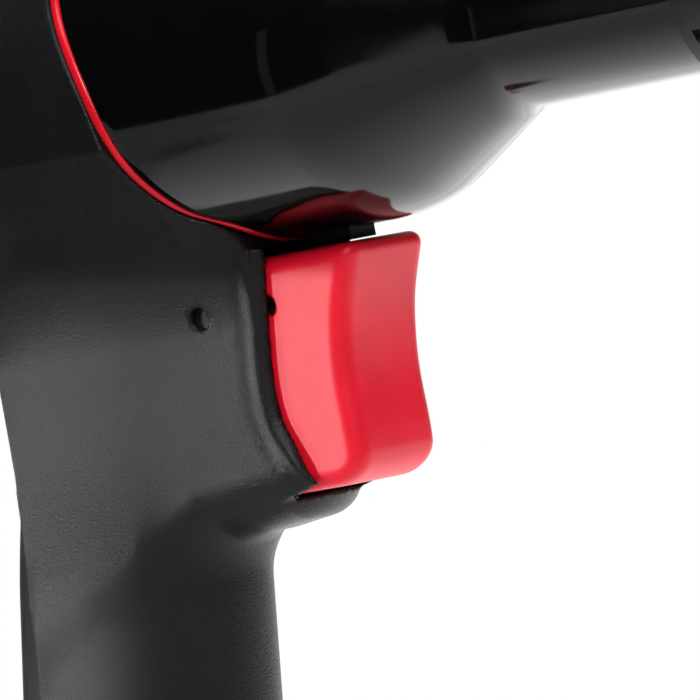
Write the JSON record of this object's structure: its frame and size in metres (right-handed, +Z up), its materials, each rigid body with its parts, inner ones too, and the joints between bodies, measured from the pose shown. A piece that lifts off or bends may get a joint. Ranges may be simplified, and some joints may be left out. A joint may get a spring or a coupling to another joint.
{
  "type": "fire hose nozzle",
  "caption": "Pistol-grip fire hose nozzle with a sliding trigger valve, rotating fog head and a free-turning threaded hose swivel.",
  "frame": {"origin": "centre of the mouth of the hose swivel, on the water axis", "axes": "+X along the water axis towards the spray, +Z up (the handle hangs towards -Z), +Y to the left looking along +X"},
  "size_m": [0.4, 0.0705, 0.1923],
  "materials": {
    "grip_plastic": "fine moulded grain",
    "trim_red": "satin",
    "shroud_gloss": "high gloss",
    "trigger_red": "satin",
    "steel": "machined",
    "spring_steel": "drawn wire",
    "brass": "machined",
    "seal_rubber": "matt",
    "cast_alloy": "cast",
    "alloy": "machined",
    "alloy_dark": "black anodised",
    "ring_plastic": "fine grain",
    "bumper_rubber": "matt",
    "cap_rubber": "matt"
  },
  "bodies": {
    "grip": {"grip_housing": "grip_plastic", "trim_ring": "trim_red", "front_shroud": "shroud_gloss", "trigger_tongue": "grip_plastic", "housing_stop_pin": "steel", "return_spring": "spring_steel", "valve_body": "cast_alloy", "shaft_seal_left": "seal_rubber", "shaft_seal_right": "seal_rubber", "pocket_cap": "cast_alloy", "valve_seat": "brass", "seat_seal": "seal_rubber", "inlet_tail": "alloy", "inlet_strainer": "steel", "inlet_gasket": "seal_rubber", "rear_collar": "alloy_dark", "collar_screw_1": "steel", "collar_screw_2": "steel", "collar_screw_3": "steel", "collar_screw_4": "steel", "barrel_tube": "alloy", "head_base": "alloy_dark", "base_nut": "alloy_dark", "stem_spider": "brass", "baffle_stem": "steel", "baffle": "brass", "baffle_nut": "steel", "base_cap": "cap_rubber", "base_screw_left": "steel", "base_screw_right": "steel"},
    "trigger": {"trigger": "trigger_red", "trigger_rod": "steel", "trigger_cross_pin": "steel", "rod_end_pin": "steel"},
    "crank": {"crank_shaft": "steel", "crank_arm_left": "steel", "crank_arm_right": "steel", "crank_finger": "steel"},
    "sleeve": {"valve_sleeve": "brass", "sleeve_seal": "seal_rubber"},
    "swivel": {"swivel_nut": "alloy_dark"},
    "shaper": {"shaper_sleeve": "alloy"},
    "pattern": {"pattern_ring": "ring_plastic", "bumper": "bumper_rubber"}
  },
  "joints": [
    {"name": "trigger_slide", "type": "slide", "parent": "grip", "child": "trigger", "axis": [1, 0, 0], "range_m": [-0.008, 0], "stiffness_N_per_m": 900, "springref_m": 0.012, "deforming": ["return_spring"]},
    {"name": "crank_pivot", "type": "hinge", "parent": "grip", "child": "crank", "pos_m": [0.125, 0, -0.027], "axis": [0, 1, 0], "range_deg": [0, 22.28]},
    {"name": "sleeve_slide", "type": "slide", "parent": "grip", "child": "sleeve", "axis": [1, 0, 0], "range_m": [0, 0.00512]},
    {"name": "pattern_turn", "type": "hinge", "parent": "grip", "child": "pattern", "pos_m": [0.34, 0, 0], "axis": [1, 0, 0], "range_deg": [0, 180]},
    {"name": "shaper_slide", "type": "slide", "parent": "grip", "child": "shaper", "axis": [1, 0, 0], "range_m": [0, 0.0061]},
    {"name": "swivel_turn", "type": "hinge", "parent": "grip", "child": "swivel", "pos_m": [0.02, 0, 0], "axis": [1, 0, 0], "continuous": true}
  ],
  "couplings": [
    {"joint": "crank_pivot", "follows": "trigger_slide", "rad_per_m": -48.175},
    {"joint": "sleeve_slide", "follows": "trigger_slide", "ratio": -0.63415},
    {"joint": "shaper_slide", "follows": "pattern_turn", "m_per_rad": 0.0019099}
  ]
}
